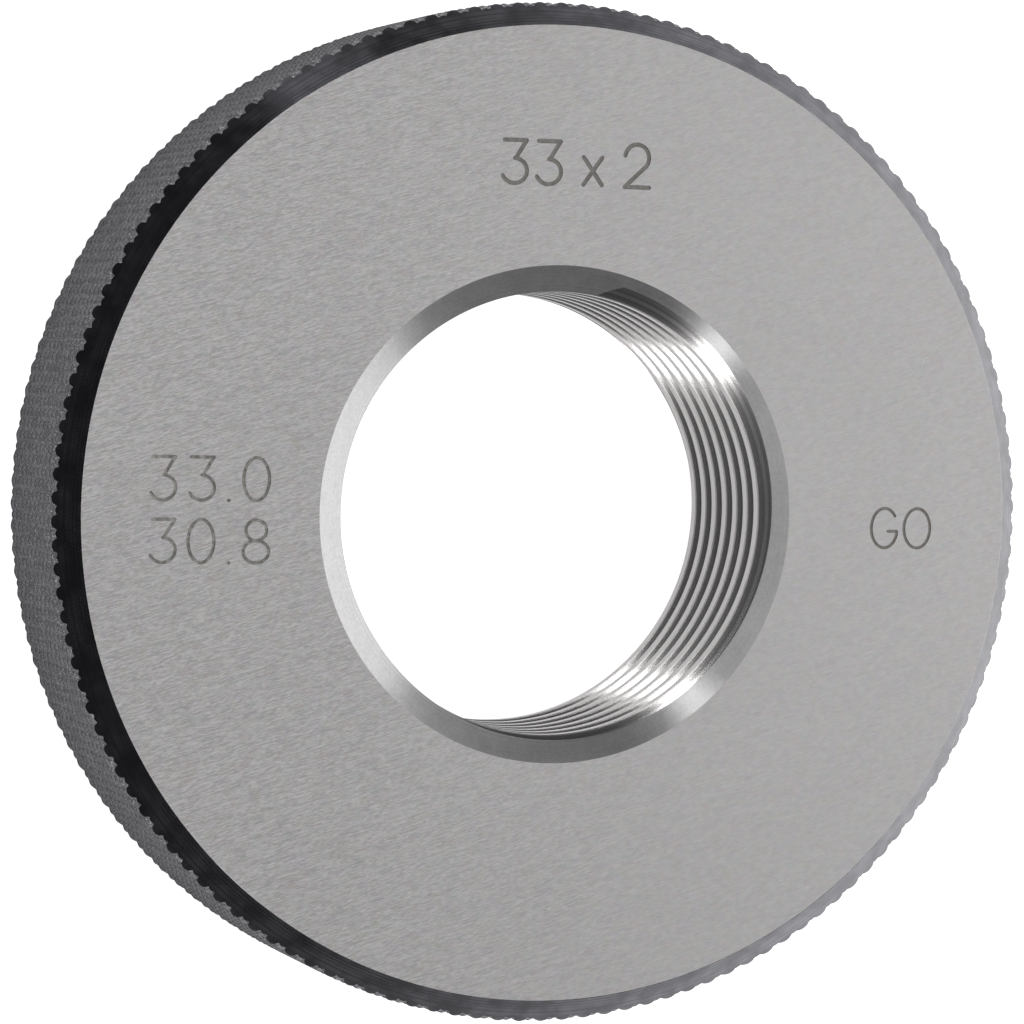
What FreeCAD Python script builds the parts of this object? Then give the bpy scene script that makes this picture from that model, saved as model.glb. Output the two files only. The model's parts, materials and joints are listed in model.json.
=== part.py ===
import FreeCAD, Part
import math
import os

# A solid thread ring gauge: one turned and ground steel ring with an internal screw thread.
# The ring lies flat on its back face. The origin is the centre of that face, +Z runs along
# the bore to the marked face, and every length is in millimetres.

# Body of the ring
outer_diameter = 71.0
thickness = 16.0
rim_chamfer = 1.8

# Internal thread, metric, right hand
thread_diameter = 33.0
thread_pitch = 2.0
thread_flank_angle = 60.0
thread_allowance = 0.038
root_clearance = 0.1
thread_start_angle = 78.0

# Countersink at each mouth of the bore
countersink_over_thread = 1.4
countersink_angle = 120.0

# How far the cutter overlaps the bore wall, and runs out past each face
cutter_overlap = 0.2
cutter_runout = 2.0

# Thread form: flat crests a quarter of the pitch wide, and roots cleared past the full diameter
fundamental_height = thread_pitch / 2 / math.tan(math.radians(thread_flank_angle / 2))
crest_flat = thread_pitch / 4
crest_radius = (thread_diameter - thread_allowance) / 2 - fundamental_height * 5 / 8
root_radius = (thread_diameter + root_clearance) / 2

# Countersink
countersink_radius = (thread_diameter + countersink_over_thread) / 2
countersink_slope = math.tan(math.radians(90 - countersink_angle / 2))
countersink_depth = (countersink_radius - crest_radius) * countersink_slope


def make_ring():
    """The ring before threading: its section, revolved about the bore."""
    outer_radius = outer_diameter / 2
    face_radius = outer_radius - rim_chamfer
    section = [
        (crest_radius, countersink_depth),
        (countersink_radius, 0),
        (face_radius, 0),
        (outer_radius, rim_chamfer),
        (outer_radius, thickness - rim_chamfer),
        (face_radius, thickness),
        (countersink_radius, thickness),
        (crest_radius, thickness - countersink_depth),
    ]
    corners = [FreeCAD.Vector(radius, 0, height) for radius, height in section]
    outline = Part.makePolygon(corners + corners[:1])
    axis = FreeCAD.Vector(0, 0, 1)
    return Part.Face(outline).revolve(FreeCAD.Vector(0, 0, 0), axis, 360)


def groove_half_width(radius):
    """Half the thread groove's width, which narrows outwards from the crest to the root."""
    flank = math.tan(math.radians(thread_flank_angle / 2))
    return (thread_pitch - crest_flat) / 2 - (radius - crest_radius) * flank


def make_thread_groove():
    """One continuous helical groove, longer than the ring, to be cut from the bore wall."""
    # At the start angle the first flank lies in the upper countersink, so the thread begins there
    start_height = thickness - countersink_depth + groove_half_width(crest_radius)
    top = start_height - thread_pitch * thread_start_angle / 360
    turns_down = math.ceil((top + cutter_runout) / thread_pitch)
    turns_up = math.ceil((thickness + cutter_runout - top) / thread_pitch)
    bottom = top - turns_down * thread_pitch

    inner_radius = crest_radius - cutter_overlap
    inner_half = groove_half_width(inner_radius)
    root_half = groove_half_width(root_radius)
    tooth = [
        (inner_radius, bottom - inner_half),
        (root_radius, bottom - root_half),
        (root_radius, bottom + root_half),
        (inner_radius, bottom + inner_half),
    ]
    corners = [FreeCAD.Vector(radius, 0, height) for radius, height in tooth]
    profile = Part.makePolygon(corners + corners[:1])

    length = (turns_down + turns_up) * thread_pitch
    helix = Part.makeLongHelix(thread_pitch, length, crest_radius, 0, False)
    helix.translate(FreeCAD.Vector(0, 0, bottom))
    sweep = Part.BRepOffsetAPI.MakePipeShell(helix)
    sweep.setBiNormalMode(FreeCAD.Vector(0, 0, 1))
    sweep.add(profile)
    sweep.build()
    sweep.makeSolid()
    return sweep.shape()


gauge_ring = make_ring().cut(make_thread_groove()).Solids[0]

os.makedirs("parts", exist_ok=True)
gauge_ring.exportStep("parts/gauge_ring.step")
print("crest radius", round(crest_radius, 4), "countersink depth", round(countersink_depth, 4))
print("gauge_ring volume", round(gauge_ring.Volume, 1), "valid", gauge_ring.isValid())
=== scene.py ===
# %% [markdown]
# A thread ring gauge
#
# The real object is a plain steel ring about 71 mm across. Its outside is knurled so that fingers
# can turn it, its two faces are ground flat, and its bore carries a fine internal screw thread.
# A machinist screws it onto a bolt to learn whether the bolt's thread has the right size.
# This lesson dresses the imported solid: it models the knurl, the thread and the engraved marks as
# real geometry, then gives each surface the finish that its machining leaves.

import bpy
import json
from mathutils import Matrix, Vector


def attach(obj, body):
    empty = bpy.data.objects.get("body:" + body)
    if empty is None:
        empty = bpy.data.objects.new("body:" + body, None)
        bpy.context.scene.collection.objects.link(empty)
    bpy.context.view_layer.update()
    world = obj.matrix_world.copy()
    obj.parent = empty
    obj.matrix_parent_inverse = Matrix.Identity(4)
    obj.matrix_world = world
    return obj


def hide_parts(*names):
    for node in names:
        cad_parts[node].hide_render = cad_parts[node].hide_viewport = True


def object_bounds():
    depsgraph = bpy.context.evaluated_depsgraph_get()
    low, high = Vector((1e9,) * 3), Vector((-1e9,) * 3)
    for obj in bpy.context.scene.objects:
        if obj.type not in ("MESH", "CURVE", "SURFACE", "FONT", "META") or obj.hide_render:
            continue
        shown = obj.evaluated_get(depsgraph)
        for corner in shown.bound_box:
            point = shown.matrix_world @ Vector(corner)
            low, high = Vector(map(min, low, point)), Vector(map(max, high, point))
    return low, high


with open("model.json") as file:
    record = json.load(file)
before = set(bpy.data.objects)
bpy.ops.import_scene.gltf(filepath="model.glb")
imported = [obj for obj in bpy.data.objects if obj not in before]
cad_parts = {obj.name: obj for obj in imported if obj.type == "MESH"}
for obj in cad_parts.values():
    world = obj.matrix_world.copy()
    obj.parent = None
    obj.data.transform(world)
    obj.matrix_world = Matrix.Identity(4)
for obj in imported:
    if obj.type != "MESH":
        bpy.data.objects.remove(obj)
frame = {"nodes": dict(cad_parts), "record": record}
cad_low, cad_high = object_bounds()
print("nodes:", sorted(frame["nodes"]))

# %% [markdown]
# Sizes
#
# Blender works in metres, so every millimetre is multiplied by MM. The ring's outer size comes
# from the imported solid's box, and its bore from the thread that the record states. The rest are
# the named sizes of the real object, written once.

# %% Sizes
import json
import math

import bmesh
import bpy
from mathutils import Vector

MM = 0.001
outer_radius = cad_high.x
thickness = cad_high.z - cad_low.z
thread_mount = next(mount for mount in frame["record"]["mounts"] if mount["name"] == "thread")
bore_radius = thread_mount["dims"]["r_mm"] * MM
countersink_depth = (thickness - thread_mount["dims"]["length_mm"] * MM) / 2
countersink_slope = math.tan(math.radians(60))
countersink_radius = bore_radius + countersink_depth * countersink_slope
rim_chamfer = 1.8 * MM
face_radius = outer_radius - rim_chamfer
print("outer radius", round(outer_radius / MM, 2), "mm, thickness", round(thickness / MM, 2), "mm")
print("bore radius", round(bore_radius / MM, 3), "mm")
print("countersink radius", round(countersink_radius / MM, 2), "mm")

# %% [markdown]
# The camera
#
# The photographer stood a little to the left of the ring and used a long lens, so that the near
# and the far side of the ring look almost equally large. The place, the two tilts and the lens
# below come from fitting a camera to the circles of the ring. The ring lies on its back, so the
# camera looks down on it. The Euler order ZYX turns it about its own side-to-side axis last.

# %% The camera
camera_place = (-98.43 * MM, 11.01 * MM, 291.62 * MM)
camera_tilt = (math.radians(-2.248), math.radians(-19.005), 0)
camera_lens = 149.2

bpy.ops.object.select_all(action="DESELECT")
bpy.ops.object.camera_add(location=camera_place)
camera = bpy.context.object
camera.name = "photo_camera"
camera.rotation_mode = "ZYX"
camera.rotation_euler = camera_tilt
camera.data.lens = camera_lens
camera.data.sensor_width = 36
camera.data.clip_start = 10 * MM
camera.data.clip_end = 20
bpy.context.scene.camera = camera
print("camera at", [round(value / MM, 1) for value in camera.location], "mm")

# %% [markdown]
# Tools for modelling
#
# Modelling by hand is a rhythm of three steps: select some edges or faces, run an operator, and
# select again. In a script the selection is made by a test on each element's place or normal.
# These small helpers do that, and put one solid's shape into another with a Boolean modifier.
# The finishes are empty materials for now, so that every face can be given its own from the start.

# %% Tools for modelling
finishes = (
    "ground_face",
    "countersink_steel",
    "thread_steel",
    "black_rim",
    "knurled_rim",
    "engraving",
)
finish = {name: bpy.data.materials.new(name) for name in finishes}
tolerance = 0.1 * MM
same_place = 0.001 * MM


def activate(piece):
    """Makes the piece the only selected one and the active one."""
    bpy.ops.object.select_all(action="DESELECT")
    piece.select_set(True)
    bpy.context.view_layer.objects.active = piece


def edit(piece):
    """Opens the piece, and no other, in edit mode."""
    activate(piece)
    bpy.ops.object.mode_set(mode="EDIT")


def done():
    """Leaves edit mode."""
    bpy.ops.object.mode_set(mode="OBJECT")


def select(kind, test):
    """In edit mode, selects the vertices, edges or faces for which the test is true."""
    bpy.ops.mesh.select_mode(type={"verts": "VERT", "edges": "EDGE", "faces": "FACE"}[kind])
    bpy.ops.mesh.select_all(action="DESELECT")
    mesh = bmesh.from_edit_mesh(bpy.context.object.data)
    chosen = [element for element in getattr(mesh, kind) if test(element)]
    for element in chosen:
        element.select_set(True)
    mesh.select_flush_mode()
    bmesh.update_edit_mesh(bpy.context.object.data)
    return len(chosen)


def paint(name):
    """In edit mode, gives the selected faces this finish."""
    bpy.context.object.active_material_index = finishes.index(name)
    bpy.ops.object.material_slot_assign()


def radius_of(point):
    """How far a point is from the bore's axis."""
    return math.hypot(point.x, point.y)


def middle_radius(face):
    """How far a face's middle is from the bore's axis."""
    return radius_of(face.calc_center_median())


def rise_of(edge):
    """How much higher one end of an edge is than the other."""
    return abs(edge.verts[0].co.z - edge.verts[1].co.z)


def lies_flat(face):
    """True for a face that looks straight up or down."""
    return abs(face.normal.z) > 0.9


def stands_upright(face):
    """True for a face that looks sideways."""
    return abs(face.normal.z) < 0.1


def put_place_in_mesh(piece):
    """Applies the piece's place, turn and scale to its mesh, so its object sits at the origin."""
    activate(piece)
    bpy.ops.object.transform_apply(location=True, rotation=True, scale=True)


def combine(piece, tool, operation, crossing_itself=False):
    """Cuts the tool out of the piece, or keeps only what they share, and removes the tool."""
    activate(piece)
    boolean = piece.modifiers.new("machining", "BOOLEAN")
    boolean.operation = operation
    boolean.object = tool
    boolean.solver = "EXACT"
    boolean.use_self = crossing_itself
    boolean.material_mode = "TRANSFER"
    bpy.ops.object.modifier_apply(modifier=boolean.name)
    bpy.data.objects.remove(tool)
    print(piece.name, "now has", len(piece.data.polygons), "faces")


# %% [markdown]
# The turned blank
#
# On the lathe the ring begins as a disc. It is chamfered at both rims, bored, and countersunk at
# both mouths of the bore. A cylinder primitive takes the same steps: bevel its rims, inset the
# caps to the countersink, inset them again while they sink, and bridge the two small caps, which
# opens the bore. Its number of sides is twice that of the knurl's starts, so the facets of the
# rim line up with the knurl. The blank is made a little too wide, because the knurl that is
# laid over it later gives the rim its true diameter.

# %% The turned blank
knurl_starts = 138
turning_steps = 2 * knurl_starts
spare_width = 0.5 * MM
edge_break = 0.03 * MM

bpy.ops.mesh.primitive_cylinder_add(
    vertices=turning_steps,
    radius=outer_radius + spare_width,
    depth=thickness,
    location=(0, 0, thickness / 2),
)
ring = bpy.context.object
ring.name = "knurled_ring"
put_place_in_mesh(ring)
for name in finishes:
    ring.data.materials.append(finish[name])

edit(ring)
select("edges", lambda edge: rise_of(edge) < tolerance)
bpy.ops.mesh.bevel(offset=rim_chamfer + spare_width, segments=1, affect="EDGES")
select("faces", lies_flat)
bpy.ops.mesh.inset(thickness=face_radius - countersink_radius)
bpy.ops.mesh.inset(thickness=countersink_radius - bore_radius, depth=-countersink_depth)
bpy.ops.mesh.bridge_edge_loops()
print("blank has", len(bmesh.from_edit_mesh(ring.data).faces), "faces")

# %% [markdown]
# A sharp edge shines
#
# The wheel that grinds the faces leaves their outer edges clean and sharp, and such an edge
# catches a thin line of light. A bevel of a few hundredths of a millimetre is enough for that.

# %% Break the ground edges
def on_face_edge(edge):
    """True for the two circles where a ground face meets the rim's chamfer."""
    off = max(abs(radius_of(corner.co) - face_radius) for corner in edge.verts)
    return off < tolerance and rise_of(edge) < tolerance


select("edges", on_face_edge)
bpy.ops.mesh.bevel(offset=edge_break, segments=2, affect="EDGES")

select("faces", lambda face: middle_radius(face) > face_radius)
paint("black_rim")
select("faces", lambda face: bore_radius < middle_radius(face) < countersink_radius)
paint("countersink_steel")
select("faces", lambda face: stands_upright(face) and middle_radius(face) < countersink_radius)
paint("thread_steel")
done()
print("blank goes out to", round(max(corner.co.x for corner in ring.data.vertices) / MM, 2), "mm")

# %% [markdown]
# An alphabet of single strokes
#
# The marks on such a gauge are cut by an engraving machine, whose cutter follows one line per
# stroke. Blender's own font has outlines instead, so the few signs that are needed are drawn
# here as strokes, on a field one unit high. Round stretches are arcs of an ellipse. The marks
# are plain numbers for the thread's size and the word that any gauge of this sort carries.

# %% An alphabet of single strokes
def arc(centre, radii, start, end, step=12):
    """Points along an arc of an ellipse, from the start angle to the end angle in degrees."""
    count = max(2, round(abs(end - start) / step))
    angles = [math.radians(start + (end - start) * index / count) for index in range(count + 1)]
    return [
        (centre[0] + radii[0] * math.cos(angle), centre[1] + radii[1] * math.sin(angle))
        for angle in angles
    ]


signs = {
    "3": (0.62, [[(0.06, 1), (0.60, 1)], [(0.60, 1), (0.34, 0.58)],
                 arc((0.31, 0.29), (0.31, 0.29), 88, -155)]),
    "2": (0.62, [arc((0.31, 0.69), (0.30, 0.31), 172, -38), [(0.546, 0.5), (0.01, 0)],
                 [(0.01, 0), (0.62, 0)]]),
    "0": (0.62, [arc((0.31, 0.5), (0.31, 0.5), 90, 450)]),
    "8": (0.62, [arc((0.31, 0.76), (0.25, 0.24), -90, 270),
                 arc((0.31, 0.26), (0.31, 0.26), 90, 450)]),
    "x": (0.50, [[(0.02, 0.02), (0.48, 0.66)], [(0.02, 0.66), (0.48, 0.02)]]),
    ".": (0.10, [[(0.04, 0.0), (0.06, 0.0)]]),
    "G": (0.68, [arc((0.36, 0.5), (0.36, 0.5), 38, 342), [(0.70, 0.35), (0.70, 0.42)],
                 [(0.70, 0.42), (0.46, 0.42)]]),
    "O": (0.72, [arc((0.36, 0.5), (0.36, 0.5), 90, 450)]),
    " ": (0.10, []),
}
print("signs:", " ".join(signs))

# %% [markdown]
# The engraving
#
# The engraving machine leaves shallow strokes with a flat floor and round ends. Their tool is
# made from the strokes in three steps: a curve that is extruded becomes a ribbon standing on
# the face, a Solidify modifier gives the ribbon the width of the stroke, and a small cylinder
# rounds each end. All of them are joined, and one Boolean cuts them from the blank. This is done
# while the blank still has few faces, which keeps the Boolean quick. The places, heights and
# widths of the marks are in millimetres, and the gaps between signs are shares of the height.

# %% The engraving
mark_turn = math.radians(-0.5)
marks = [
    {"text": "33 x 2", "place": (0.9, 22.72), "height": 2.95, "gap": 0.22, "width": 0.30},
    {"text": "33.0", "place": (-24.9, 0.98), "height": 2.90, "gap": 0.30, "width": 0.23},
    {"text": "30.8", "place": (-24.9, -3.22), "height": 2.90, "gap": 0.30, "width": 0.23},
    {"text": "GO", "place": (25.75, -2.36), "height": 2.80, "gap": 0.22, "width": 0.22},
]
groove_depth = 0.05 * MM
end_sides = 16


def strokes_of(mark):
    """The mark's strokes as lists of points on the face, in metres, centred on its place."""
    widths = [signs[sign][0] for sign in mark["text"]]
    length = sum(widths) + mark["gap"] * (len(widths) - 1)
    middle_x, middle_y = mark["place"]
    strokes, left = [], -length / 2
    for sign, width in zip(mark["text"], widths):
        for stroke in signs[sign][1]:
            points = []
            for x, y in stroke:
                across, up = (left + x) * mark["height"], y * mark["height"]
                turned_x = across * math.cos(mark_turn) - up * math.sin(mark_turn)
                turned_y = across * math.sin(mark_turn) + up * math.cos(mark_turn)
                points.append(((middle_x + turned_x) * MM, (middle_y + turned_y) * MM))
            strokes.append(points)
        left += width + mark["gap"]
    return strokes


def ribbon_for(strokes, width):
    """One solid ribbon along each stroke, as one mesh that reaches above and into the face."""
    curve = bpy.data.curves.new("strokes", "CURVE")
    curve.dimensions = "3D"
    curve.extrude = groove_depth
    for stroke in strokes:
        closed = math.dist(stroke[0], stroke[-1]) < same_place
        points = stroke[:-1] if closed else stroke
        line = curve.splines.new("POLY")
        line.points.add(len(points) - 1)
        for point, (x, y) in zip(line.points, points):
            point.co = (x, y, thickness, 1)
        line.use_cyclic_u = closed
    ribbon = bpy.data.objects.new("strokes", curve)
    bpy.context.scene.collection.objects.link(ribbon)
    activate(ribbon)
    bpy.ops.object.convert(target="MESH")
    solidify = ribbon.modifiers.new("width", "SOLIDIFY")
    solidify.thickness = width
    solidify.offset = 0
    bpy.ops.object.modifier_apply(modifier=solidify.name)
    return ribbon


cutters = []
for mark in marks:
    half_width = mark["width"] * MM / 2
    cutters.append(ribbon_for(strokes_of(mark), 2 * half_width))
    ends = {stroke[end] for stroke in strokes_of(mark) for end in (0, -1)}
    for x, y in sorted(ends):
        bpy.ops.mesh.primitive_cylinder_add(
            vertices=end_sides,
            radius=half_width,
            depth=2 * groove_depth,
            location=(x, y, thickness),
        )
        cutters.append(bpy.context.object)
bpy.ops.object.select_all(action="DESELECT")
for cutter in cutters:
    cutter.select_set(True)
bpy.context.view_layer.objects.active = cutters[0]
bpy.ops.object.join()
engraver = bpy.context.object
engraver.name = "engraver"
put_place_in_mesh(engraver)
engraver.data.materials.clear()
engraver.data.materials.append(finish["engraving"])
print("engraver has", len(engraver.data.polygons), "faces for", len(cutters), "cutters")
combine(ring, engraver, "DIFFERENCE", crossing_itself=True)

# %% [markdown]
# The thread
#
# A tap cuts one long helical groove. Its tool here is the groove's section, a trapezoid that is
# wider at the bore than at the root, swept by a Screw modifier: one turn lifts it by one pitch.
# The section is a plane primitive with its outer edge shortened. The sweep has as many steps
# per turn as the blank has sides, so that the thread's edges meet the bore's facets cleanly. Its
# root lies a few hundredths of a millimetre too high, which lets the groove start with a slanted
# end. The groove breaks into the upper countersink at an angle of start_degrees. It runs out
# past both faces, and the countersinks cut the thread off as on the real ring.

# %% The thread
thread_pitch = 2.0 * MM
crest_width = 0.75 * MM
root_radius = 16.44 * MM
start_degrees = 80.5
overlap = 0.2 * MM
runout = 2.0 * MM
flank_slope = math.tan(math.radians(30))
root_lift = 0.04 * MM


def groove_half_width(radius):
    """Half the groove's width, which narrows from the crest out to the root."""
    return (thread_pitch - crest_width) / 2 - (radius - bore_radius) * flank_slope


start_height = thickness - countersink_depth + groove_half_width(bore_radius)
top_turn = start_height - thread_pitch * start_degrees / 360
turns_down = math.ceil((top_turn + runout) / thread_pitch)
turns_up = math.ceil((thickness + runout - top_turn) / thread_pitch)
inner_radius = bore_radius - overlap
inner_width = 2 * groove_half_width(inner_radius)

bpy.ops.mesh.primitive_plane_add(
    size=1,
    location=((inner_radius + root_radius) / 2, 0, top_turn - turns_down * thread_pitch),
    rotation=(math.pi / 2, 0, 0),
)
tap = bpy.context.object
tap.name = "tap"
tap.scale = (root_radius - inner_radius, inner_width, 1)
put_place_in_mesh(tap)
edit(tap)
select("verts", lambda corner: corner.co.x > bore_radius)
narrowing = 2 * groove_half_width(root_radius) / inner_width
centre = (root_radius, 0, top_turn - turns_down * thread_pitch + root_lift / (1 - narrowing))
bpy.ops.transform.resize(value=(1, 1, narrowing), center_override=centre)
bpy.ops.mesh.select_all(action="SELECT")
bpy.ops.mesh.delete(type="ONLY_FACE")
done()

screw = tap.modifiers.new("helix", "SCREW")
screw.angle = 2 * math.pi
screw.screw_offset = thread_pitch
screw.iterations = turns_down + turns_up
screw.steps = turning_steps
screw.render_steps = turning_steps
bpy.ops.object.modifier_apply(modifier=screw.name)

edit(tap)
bpy.ops.mesh.select_all(action="SELECT")
bpy.ops.mesh.fill_holes(sides=4)
bpy.ops.mesh.select_all(action="SELECT")
bpy.ops.mesh.normals_make_consistent(inside=False)
done()
tap.data.materials.append(finish["thread_steel"])
print("tap turns", turns_down + turns_up, "times and has", len(tap.data.polygons), "faces")
combine(ring, tap, "DIFFERENCE")

# %% [markdown]
# The knurl
#
# Two hardened wheels press crossing grooves into the rim, and what is left between them are
# small pyramids, staggered from row to row. A cylinder whose side is a net of squares has that
# pattern in it already: every other corner of the net is the top of a pyramid and the rest are
# the bottoms of the grooves. So the tops are scaled outwards, the squares are split along the
# grooves, and a vertex bevel in two steps rounds the tops. The knurl is a solid of its own at
# first, and the ring keeps only what the two share, so the chamfers cut through the pyramids
# as on a lathe.

# %% The knurl
rounding_percent = 45
knurl_turn = math.radians(-1.75)
knurl_pitch = 1.227 * MM
row_height = knurl_pitch / 2
top_row_height = 14.42 * MM
tip_inset = 0.03 * MM
groove_inset = 0.45 * MM
tip_radius = outer_radius - tip_inset
groove_radius = outer_radius - groove_inset
rows_below = math.ceil((top_row_height + row_height) / row_height)
rows_above = math.ceil((thickness + row_height - top_row_height) / row_height)
knurl_low = top_row_height - rows_below * row_height
knurl_rows = rows_below + rows_above

bpy.ops.mesh.primitive_cylinder_add(
    vertices=turning_steps,
    radius=groove_radius,
    depth=knurl_rows * row_height,
    location=(0, 0, knurl_low + knurl_rows * row_height / 2),
    rotation=(0, 0, knurl_turn),
)
knurl = bpy.context.object
knurl.name = "knurl"
put_place_in_mesh(knurl)
knurl.data.materials.append(finish["knurled_rim"])


def is_tip(corner):
    """True for every other corner of the net, away from the two caps."""
    angle = math.atan2(corner.co.y, corner.co.x) - knurl_turn
    column = round(angle * turning_steps / (2 * math.pi))
    row = round((corner.co.z - knurl_low) / row_height)
    return 0 < row < knurl_rows and (column + row - rows_below) % 2 == 0


edit(knurl)
select("edges", lambda edge: rise_of(edge) > row_height)
bpy.ops.mesh.subdivide(number_cuts=knurl_rows - 1)
tips = select("verts", is_tip)
growth = tip_radius / groove_radius
bpy.ops.transform.resize(value=(growth, growth, 1), center_override=(0, 0, 0))
select("faces", lambda face: not lies_flat(face))
bpy.ops.mesh.quads_convert_to_tris(quad_method="SHORTEST_DIAGONAL")
select("verts", is_tip)
bpy.ops.mesh.bevel(
    offset_type="PERCENT", offset_pct=rounding_percent, segments=2, affect="VERTICES"
)
done()
print("knurl has", tips, "pyramids and", len(knurl.data.polygons), "faces")
combine(ring, knurl, "INTERSECT")
print("rim now", round(max(radius_of(corner.co) for corner in ring.data.vertices) / MM, 3), "mm")

# %% [markdown]
# Cleaning the mesh
#
# Where two solids cut each other, a Boolean leaves some corners that almost coincide. Merging
# them keeps the mesh closed and the shading calm. Then faces that meet at a small angle are
# shaded as one smooth surface, and every real edge stays sharp. The finished ring stands for
# the imported solid and moves with its body.

# %% Clean and place the ring
smooth_angle = math.radians(8)

edit(ring)
bpy.ops.mesh.select_all(action="SELECT")
bpy.ops.mesh.remove_doubles(threshold=2 * same_place)
bpy.ops.mesh.dissolve_degenerate(threshold=same_place)
done()
bpy.ops.object.shade_smooth_by_angle(angle=smooth_angle)
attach(ring, "root")
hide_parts("gauge_ring")
print("ring has", sum(len(face.vertices) - 2 for face in ring.data.polygons), "triangles")

# %% [markdown]
# Writing materials as sums
#
# A material is a net of nodes, and most of them only add and multiply. The class Wire stands for
# one socket of such a net. Python's own operators work on it and add the Math node that is
# meant, so a pattern can be written as a sum. Every other node is added by one method, which is
# given the node's type, its settings and the values or wires of its sockets.

# %% Writing materials as sums
class Wire:
    """A value that flows through a material. Its operators add Math nodes."""

    def __init__(self, net, socket):
        self.net = net
        self.socket = socket

    def math(self, operation, *values):
        return self.net.node("ShaderNodeMath", {"operation": operation}, dict(enumerate(values)))

    def __add__(self, other):
        return self.math("ADD", self, other)

    def __sub__(self, other):
        return self.math("SUBTRACT", self, other)

    def __rsub__(self, other):
        return self.math("SUBTRACT", other, self)

    def __mul__(self, other):
        return self.math("MULTIPLY", self, other)

    def __truediv__(self, other):
        return self.math("DIVIDE", self, other)

    def __rtruediv__(self, other):
        return self.math("DIVIDE", other, self)

    def __pow__(self, other):
        return self.math("POWER", self, other)

    __radd__ = __add__
    __rmul__ = __mul__

    def cosine(self):
        return self.math("COSINE", self)


class Net:
    """The nodes of one material."""

    def __init__(self, material):
        material.use_nodes = True
        self.tree = material.node_tree
        self.tree.nodes.clear()

    def node(self, kind, settings=None, sockets=None, output=0):
        """Adds a node and returns the wire from its output."""
        node = self.tree.nodes.new(kind)
        for name, value in (settings or {}).items():
            setattr(node, name, value)
        for name, value in (sockets or {}).items():
            if isinstance(value, Wire):
                self.tree.links.new(value.socket, node.inputs[name])
            else:
                node.inputs[name].default_value = value
        return Wire(self, node.outputs[output]) if len(node.outputs) else None

    def place(self):
        """The point's place on the object, in metres, as wires for x, y and z."""
        point = self.node("ShaderNodeTexCoord", output="Object")
        split = self.node("ShaderNodeSeparateXYZ", sockets={0: point})
        return [Wire(self, socket) for socket in split.socket.node.outputs]

    def radius(self):
        """The point's distance from the bore's axis."""
        x, y = self.place()[:2]
        return (x * x + y * y) ** 0.5

    def angle(self):
        """The point's angle round the bore's axis."""
        x, y = self.place()[:2]
        return self.node("ShaderNodeMath", {"operation": "ARCTAN2"}, {0: y, 1: x})

    def grain(self, length, width, turn=0.0, detail=3.0, waves=0.0, seed=0.0):
        """Streaks of this length and width, along a direction on the face, from 0 to 1."""
        point = self.node("ShaderNodeTexCoord", output="Object")
        stretched = self.node(
            "ShaderNodeMapping",
            {"vector_type": "TEXTURE"},
            {
                "Vector": point,
                "Location": (0, 0, seed),
                "Rotation": (0, 0, turn),
                "Scale": (length, width, width),
            },
        )
        return self.node(
            "ShaderNodeTexNoise",
            sockets={"Vector": stretched, "Scale": 1, "Detail": detail, "Distortion": waves},
        )

    def turned_lines(self, across, spacing, detail=2.0):
        """Fine lines that follow a turned surface, from 0 to 1. The wire across counts them."""
        return self.node(
            "ShaderNodeTexNoise",
            {"noise_dimensions": "1D"},
            {"W": across / spacing, "Scale": 1, "Detail": detail},
        )

    def step(self, value, low, high):
        """0 where the value is under low, 1 where it is over high, and smooth between them."""
        return self.node(
            "ShaderNodeMapRange",
            {"interpolation_type": "SMOOTHSTEP"},
            {"Value": value, "From Min": low, "From Max": high},
        )

    def blend(self, share, first, second):
        """A colour that lies this share of the way from the first colour to the second."""
        return self.node(
            "ShaderNodeMix", {"data_type": "RGBA"}, {"Factor": share, 6: first, 7: second}, output=2
        )

    def relief(self, height, depth):
        """The normals of a surface that this height, from 0 to 1, makes this deep."""
        return self.node("ShaderNodeBump", sockets={"Height": height, "Distance": depth})

    def finish_as_metal(self, sockets):
        """Ends the net in a metal with these colours, numbers and wires."""
        metal = self.node("ShaderNodeBsdfPrincipled", sockets={"Metallic": 1.0} | sockets)
        self.node("ShaderNodeOutputMaterial", sockets={"Surface": metal})


print("a wire can be used with + - * / ** and has a cosine")

# %% [markdown]
# The ground faces
#
# A grinding wheel leaves a satin face: thousands of short scratches, all along the way that the
# wheel went, which is about sixteen degrees to the marks. They are deepest on the left and fade
# to the right. Stretched noise gives such streaks. Wider and weaker noise tints the steel a
# little pinker or greener and warmer or cooler, and a few long scratches cross it. The relief is
# some microns deep.

# %% Finish: ground faces
grinding_turn = math.radians(16)
net = Net(finish["ground_face"])
x = net.place()[0]
long_streaks = net.grain(0.95 * MM, 0.07 * MM, grinding_turn, detail=2, waves=0.9)
short_streaks = net.grain(0.40 * MM, 0.05 * MM, grinding_turn, detail=2, waves=0.8, seed=5 * MM)
fading = 1.6 - 1.28 * net.step(x, -32 * MM, 18 * MM)
patches = net.grain(0.55 * MM, 0.30 * MM, grinding_turn, detail=1, seed=2 * MM)
streaks = 0.45 + fading * (0.5 * long_streaks + 0.5 * short_streaks - 0.5) + 0.1 * patches
clouds = net.grain(11 * MM, 9 * MM, 1.0, detail=2, seed=1 * MM)
thin_lines = net.grain(16 * MM, 0.07 * MM, grinding_turn + 0.5, detail=1, seed=7 * MM)
scratches = net.step(thin_lines, 0.72, 0.76)
pink_or_green = net.step(net.grain(0.6 * MM, 0.6 * MM, detail=3, seed=3 * MM), 0.35, 0.65)
warm_or_cool = net.step(net.grain(0.6 * MM, 0.6 * MM, detail=3, seed=9 * MM), 0.35, 0.65)
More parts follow.
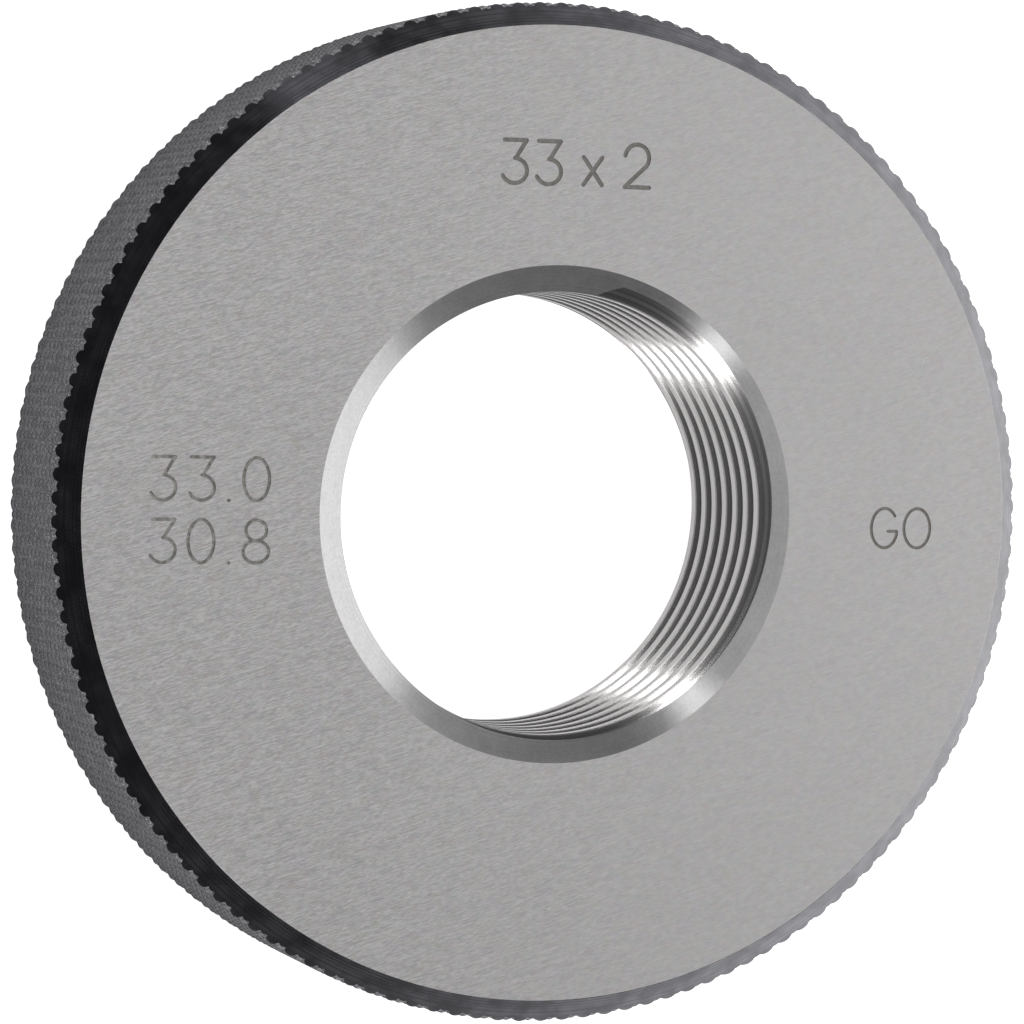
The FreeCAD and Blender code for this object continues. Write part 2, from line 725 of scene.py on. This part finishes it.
steel = net.blend(
    0.5,
    net.blend(pink_or_green, (0.49, 0.43, 0.475, 1), (0.457, 0.493, 0.445, 1)),
    net.blend(warm_or_cool, (0.505, 0.461, 0.428, 1), (0.442, 0.461, 0.492, 1)),
)
steel = net.blend(net.step(streaks, 0.33, 0.67), steel, (0.703, 0.69, 0.69, 1))
net.finish_as_metal({
    "Base Color": steel,
    "Roughness": 0.34 + 0.2 * streaks + 0.06 * clouds + 0.1 * scratches,
    "Normal": net.relief(streaks + 0.6 * scratches, 0.008 * MM),
})
print("ground faces done")

# %% [markdown]
# The turned steel
#
# The countersink and the thread are cut on a lathe, so their fine lines run round the bore. A
# surface with such lines stretches every highlight across them, which the shader's anisotropy
# does. The thread is lapped to a smoother and slightly darker finish than the countersink, and
# the edges of its crests are worn matt and bright by the bolts that have been through it.

# %% Finish: countersink and thread
net = Net(finish["countersink_steel"])
turned = net.turned_lines(net.radius(), 0.13 * MM, detail=4)
uneven = net.grain(1.2 * MM, 1.2 * MM, detail=4)
speckle = net.grain(0.20 * MM, 0.20 * MM, detail=2)
wear = 0.3 * turned + 0.3 * uneven + 0.4 * speckle
net.finish_as_metal({
    "Base Color": net.blend(wear, (0.33, 0.325, 0.325, 1), (0.81, 0.805, 0.81, 1)),
    "Roughness": 0.29 + 0.12 * turned + 0.06 * uneven,
    "Anisotropic": 0.9,
    "Anisotropic Rotation": 0.25,
    "Normal": net.relief(0.8 * turned + 0.2 * speckle, 0.005 * MM),
})

net = Net(finish["thread_steel"])
z = net.place()[2]
radius = net.radius()
turned = net.turned_lines(z + 0.4 * radius, 0.10 * MM, detail=1)
bands = net.step(net.turned_lines(radius, 0.22 * MM), 0.3, 0.7)
uneven = net.grain(2 * MM, 2 * MM, detail=3)
on_flank = net.step(radius, bore_radius + 0.002 * MM, bore_radius + 0.01 * MM)
worn_edge = on_flank * (1 - net.step(radius, bore_radius + 0.03 * MM, bore_radius + 0.14 * MM))
steel = net.blend(0.3 * turned + 0.7 * bands, (0.40, 0.39, 0.385, 1), (0.80, 0.78, 0.78, 1))
net.finish_as_metal({
    "Base Color": net.blend(worn_edge, steel, (0.77, 0.745, 0.735, 1)),
    "Roughness": 0.18 + 0.01 * turned + 0.02 * uneven + 0.17 * worn_edge,
    "Anisotropic": 0.2,
    "Anisotropic Rotation": 0.25,
    "Normal": net.relief(turned, 0.0002 * MM),
})
print("turned steel done")

# %% [markdown]
# The black rim
#
# The rim is blackened, which is a thin oxide: still a metal, but a dark and slightly blue one.
# On the chamfers it lies cloudily over fine turned lines. The knurling wheels don't quite fill
# their own shape, so every small pyramid keeps a shallow dimple in its top, given as a bump.
# Its darkness is painted shade: the colour is made darker at each top. Two cosines that are
# multiplied, one round the rim and one up it, are 1 at each top and -1 at each groove crossing.
# Near the marked face some tops get a painted highlight: a bright colour that stands for
# glints, on steel that is partly worn by rubbing, where the roughness is also a little lower.

# %% Finish: chamfers and knurl
net = Net(finish["black_rim"])
turned = net.turned_lines(net.radius(), 0.10 * MM, detail=3)
uneven = net.grain(1.6 * MM, 1.6 * MM, detail=4)
oxide = net.blend(net.step(uneven, 0.3, 0.7), (0.085, 0.085, 0.094, 1), (0.155, 0.155, 0.170, 1))
net.finish_as_metal({
    "Base Color": net.blend(net.step(turned, 0.30, 0.55), (0.075, 0.075, 0.083, 1), oxide),
    "Roughness": 0.13 + 0.05 * turned + 0.06 * uneven,
    "Anisotropic": 0.5,
    "Anisotropic Rotation": 0.25,
    "Normal": net.relief(turned, 0.002 * MM),
})

net = Net(finish["knurled_rim"])
z = net.place()[2]
around = knurl_starts * (net.angle() - knurl_turn)
upward = (z - top_row_height) * (math.pi / row_height)
tops = around.cosine() * upward.cosine()
speckle = net.grain(0.13 * MM, 0.13 * MM, detail=3)
uneven = net.grain(1.1 * MM, 1.1 * MM, detail=3)
# Painted shade at each knurl top: the colour goes darker there, and the same mask sinks it as a
# bump.
dimples_and_painted_shade = net.step(tops + 0.5 * speckle, 0.50, 0.95)
near_face = net.step(z + 1.5 * MM * uneven, 12.5 * MM, 15.2 * MM)
# Painted glints: a bright colour on some tops, most near the marked face; lower roughness there
# too.
rubbed_and_painted_glints = net.step(speckle, 0.62, 0.68) * (0.2 + 0.8 * near_face)
grains = net.step(0.7 * speckle + 0.3 * uneven, 0.38, 0.62)
oxide = net.blend(grains, (0.074, 0.074, 0.080, 1), (0.165, 0.165, 0.177, 1))
# Painted shade: each knurl top is coloured darker.
oxide = net.blend(0.7 * dimples_and_painted_shade, oxide, (0.035, 0.035, 0.038, 1))
net.finish_as_metal({
    "Base Color": net.blend(rubbed_and_painted_glints, oxide, (0.42, 0.42, 0.42, 1)),
    "Roughness": 0.40 + 0.12 * uneven - 0.1 * rubbed_and_painted_glints,
    "Normal": net.relief(0.4 * speckle - dimples_and_painted_shade, 0.03 * MM),
})
print("black rim done")

# %% [markdown]
# The marks
#
# The cutter's strokes are filled with a thin brown-grey oxide, duller than the ground face. It
# has worn unevenly, so some stretches show more of the bare metal than others, most of all in
# the two lines on the left.

# %% Finish: engraving
net = Net(finish["engraving"])
x = net.place()[0]
uneven = net.grain(0.35 * MM, 0.35 * MM, detail=4)
wear = net.step(uneven, 0.35, 0.70) * (1 - 0.65 * net.step(x, -18 * MM, -12 * MM))
net.finish_as_metal({
    "Base Color": net.blend(wear, (0.235, 0.223, 0.208, 1), (0.46, 0.445, 0.425, 1)),
    "Roughness": 0.45 + 0.15 * uneven,
    "Normal": net.relief(uneven, 0.008 * MM),
})
print("engraving done")

# %% [markdown]
# The floor
#
# The ring lies on a plain white sheet. The sheet is a little bright of its own for what the
# camera and the polished metal see, so it comes out white, and it keeps the ring's soft shadow.
# What the metal mirrors of it is dimmer under the ring, which is a painted shadow, and dimmer
# again far away from the lamps, which is a painted fall-off of their light.

# %% The floor
floor_size = 12
floor_gap = 0.02 * MM

bpy.ops.object.select_all(action="DESELECT")
bpy.ops.mesh.primitive_plane_add(size=floor_size, location=(0, 0, -floor_gap))
floor = bpy.context.object
floor.name = "white_sheet"
floor.data.materials.append(bpy.data.materials.new("white_paper"))
net = Net(floor.data.materials[0])
by_camera = net.node("ShaderNodeLightPath", output="Is Camera Ray")
by_mirror = net.node("ShaderNodeLightPath", output="Is Glossy Ray")
by_glass = net.node("ShaderNodeLightPath", output="Is Transmission Ray")
# Painted shadow and painted fall-off of light: the mirrored glow is weaker under the ring and far
# out.
nearness = 1 / (1 + (net.radius() / (100 * MM)) ** 4)
beyond_ring = net.step(net.radius(), 25 * MM, 75 * MM)
mirrored = by_mirror * (0.05 + 1.66 * nearness * (0.23 + 0.77 * beyond_ring))
seen = 0.9 * by_camera + 0.9 * by_glass
paper = net.node("ShaderNodeBsdfDiffuse", sockets={"Color": (0.8, 0.8, 0.8, 1)})
glow = net.node("ShaderNodeEmission", sockets={"Strength": seen + mirrored})
both = net.node("ShaderNodeAddShader", sockets={0: paper, 1: glow})
net.node("ShaderNodeOutputMaterial", sockets={"Surface": both})
print("floor lies at", round(floor.location.z / MM, 2), "mm")

# %% [markdown]
# The light
#
# Bare metal shows what is around it, so its light is built as what the metal should mirror. Two
# narrow lamps, one on either side of the camera, give the two bright bands in the bore. A broad
# soft panel overhead lights the satin faces. White cards on the right, around the camera and
# beyond the ring brighten the countersink and the rim, and the room is dim everywhere else. Each
# lamp is placed by the direction that it is seen in from the ring, and its power follows from
# how bright its surface should look there.

# %% The light
lamp_distance = 0.60


def lamp(name, direction, width, height, brightness):
    """An area lamp that faces the ring from this direction and looks this bright from there."""
    towards = Vector(direction).normalized()
    bpy.ops.object.light_add(type="AREA", location=towards * lamp_distance)
    light = bpy.context.object
    light.name = name
    light.rotation_euler = towards.to_track_quat("Z", "Y").to_euler()
    light.data.shape = "RECTANGLE"
    light.data.size = width
    light.data.size_y = height
    light.data.energy = brightness * math.pi * width * height
    light.visible_camera = False
    print(name, "gives", round(light.data.energy, 2), "W")


lamp("key_low", (-0.319, -0.695, 0.645), 0.074, 0.30, 6.5)
lamp("key_high", (-0.250, 0.696, 0.670), 0.066, 0.30, 6.4)
lamp("overhead", (0.60, 0.06, 0.80), 0.56, 0.56, 0.87)
lamp("right_card", (0.98, -0.03, 0.24), 0.70, 0.26, 2.9)
lamp("camera_card", (-0.30, 0.01, 0.95), 0.56, 0.15, 2.45)
lamp("small_card", (-0.25, 0.947, 0.195), 0.17, 0.12, 0.80)

world = bpy.data.worlds.new("dim_room")
bpy.context.scene.world = world
world.use_nodes = True
background = world.node_tree.nodes["Background"]
background.inputs["Color"].default_value = (0.07, 0.07, 0.073, 1)
bpy.context.scene.view_settings.view_transform = "Standard"
